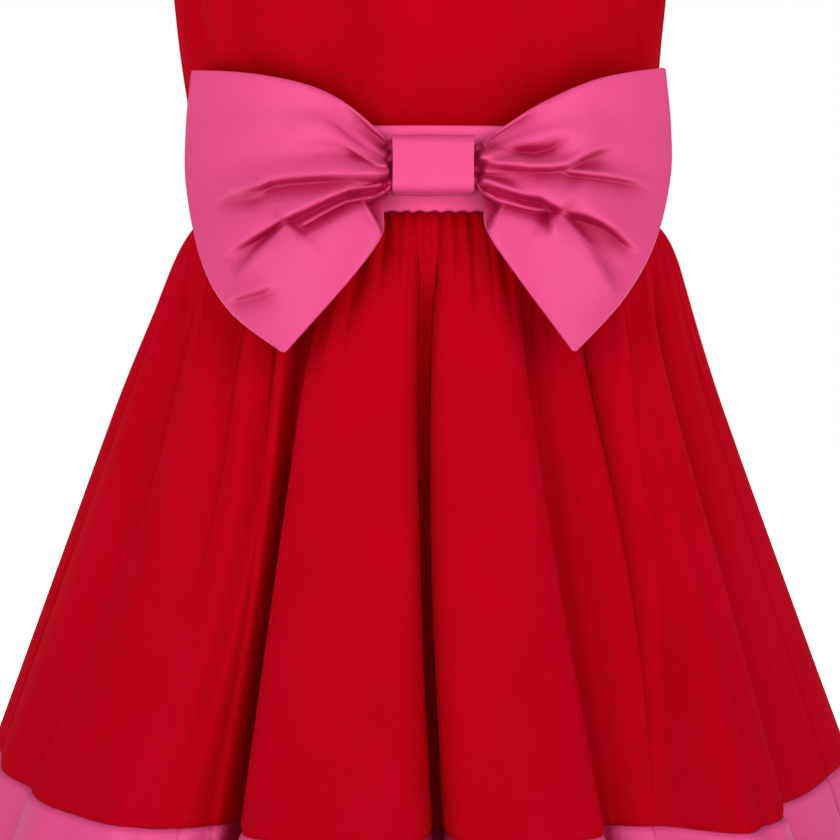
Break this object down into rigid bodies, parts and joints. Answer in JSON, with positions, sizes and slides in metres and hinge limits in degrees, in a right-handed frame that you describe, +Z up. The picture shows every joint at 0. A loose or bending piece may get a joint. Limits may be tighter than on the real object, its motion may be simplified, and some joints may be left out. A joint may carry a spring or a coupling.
{
  "type": "toddler party dress",
  "caption": "Sleeveless child's party dress with a gathered flared skirt, waistband, front bow, contrast hem band and back zip, filled out as worn.",
  "frame": {"origin": "midway between the two shoulder straps, where the wearer's shoulders carry the dress", "axes": "+Z up, -Y towards the front with the bow, +X towards the wearer's left"},
  "size_m": [0.4117, 0.3669, 0.5209],
  "materials": {
    "velvet": "red cotton velvet with a short pile",
    "satin": "pink duchess satin with a soft sheen",
    "zip_tape": "red woven polyester tape",
    "zip_metal": "red enamel on die-cast zinc"
  },
  "bodies": {
    "garment": {"bodice_front": "velvet", "bodice_back_left": "velvet", "bodice_back_right": "velvet", "skirt_front": "velvet", "skirt_back_left": "velvet", "skirt_back_right": "velvet", "waistband_front": "satin", "waistband_back_left": "satin", "waistband_back_right": "satin", "hem_band_front": "satin", "hem_band_back": "satin", "bow_wing_left": "satin", "bow_wing_right": "satin", "bow_knot": "satin", "zip_tape": "zip_tape", "zip_slider": "zip_metal"},
    "pull": {"zip_pull": "zip_metal"}
  },
  "joints": [
    {"name": "zip_pull_hinge", "type": "hinge", "parent": "garment", "child": "pull", "pos_m": [0, 0.06771, -0.0251], "axis": [1, 0, 0], "range_deg": [0, 170]}
  ]
}
